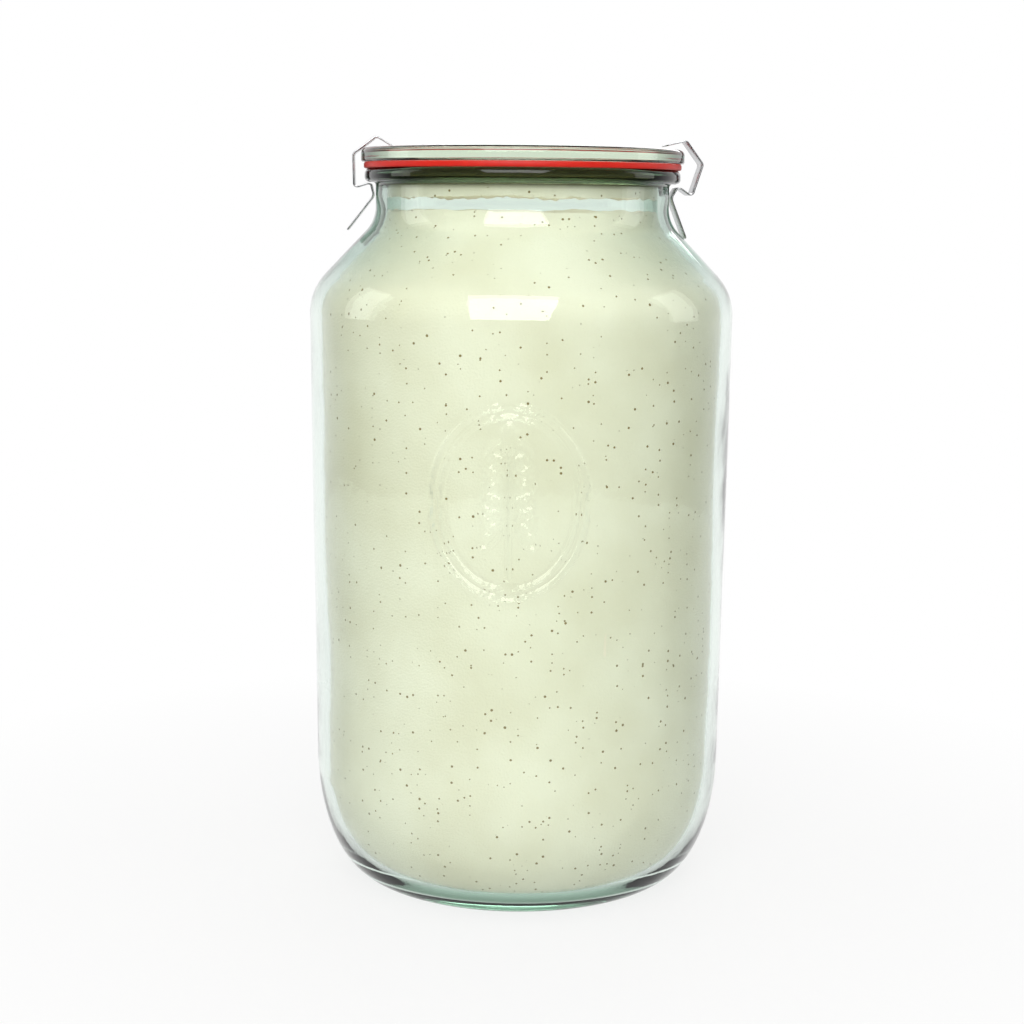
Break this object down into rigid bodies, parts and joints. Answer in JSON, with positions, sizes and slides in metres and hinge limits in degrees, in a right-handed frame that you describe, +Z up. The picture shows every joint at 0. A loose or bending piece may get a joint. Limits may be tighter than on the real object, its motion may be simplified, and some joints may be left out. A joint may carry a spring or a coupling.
{
  "type": "sourdough starter jar",
  "caption": "Tall glass preserving jar filled to the neck, closed by a glass lid on a red rubber ring held by two bent spring-steel clips.",
  "frame": {"origin": "middle of the foot, on the surface that the jar stands on", "axes": "+Z up along the jar's axis; -Y towards the viewer of the picture; +X to the viewer's right, towards the rocked clip"},
  "size_m": [0.145, 0.145, 0.2557],
  "materials": {
    "jar_glass": "clear pressed glass, faintly green",
    "lid_glass": "clear pressed glass, faintly green",
    "rubber": "smooth red natural rubber",
    "clip_steel": "rolled spring steel strip",
    "flour": "matt packed flour"
  },
  "bodies": {
    "jar": {"jar_glass": "jar_glass", "filling": "flour"},
    "lid": {"lid_glass": "lid_glass", "sealing_ring": "rubber"},
    "clip_left": {"clip_left": "clip_steel"},
    "clip_right": {"clip_right": "clip_steel"}
  },
  "joints": [
    {"name": "lid_lift", "type": "slide", "parent": "jar", "child": "lid", "axis": [0, 0, 1], "range_m": [0, 0.012]},
    {"name": "clip_left_swing", "type": "hinge", "parent": "jar", "child": "clip_left", "pos_m": [-0.05797, -0.00182, 0.209], "axis": [0.0314, -0.9995, 0], "range_deg": [0, 88]},
    {"name": "clip_right_swing", "type": "hinge", "parent": "jar", "child": "clip_right", "pos_m": [0.05788, 0.00374, 0.209], "axis": [-0.0645, 0.9979, 0], "range_deg": [0, 70]}
  ],
  "couplings": [
    {"joint": "clip_left_swing", "follows": "lid_lift", "rad_per_m": 127.9},
    {"joint": "clip_right_swing", "follows": "lid_lift", "rad_per_m": 101.7}
  ]
}
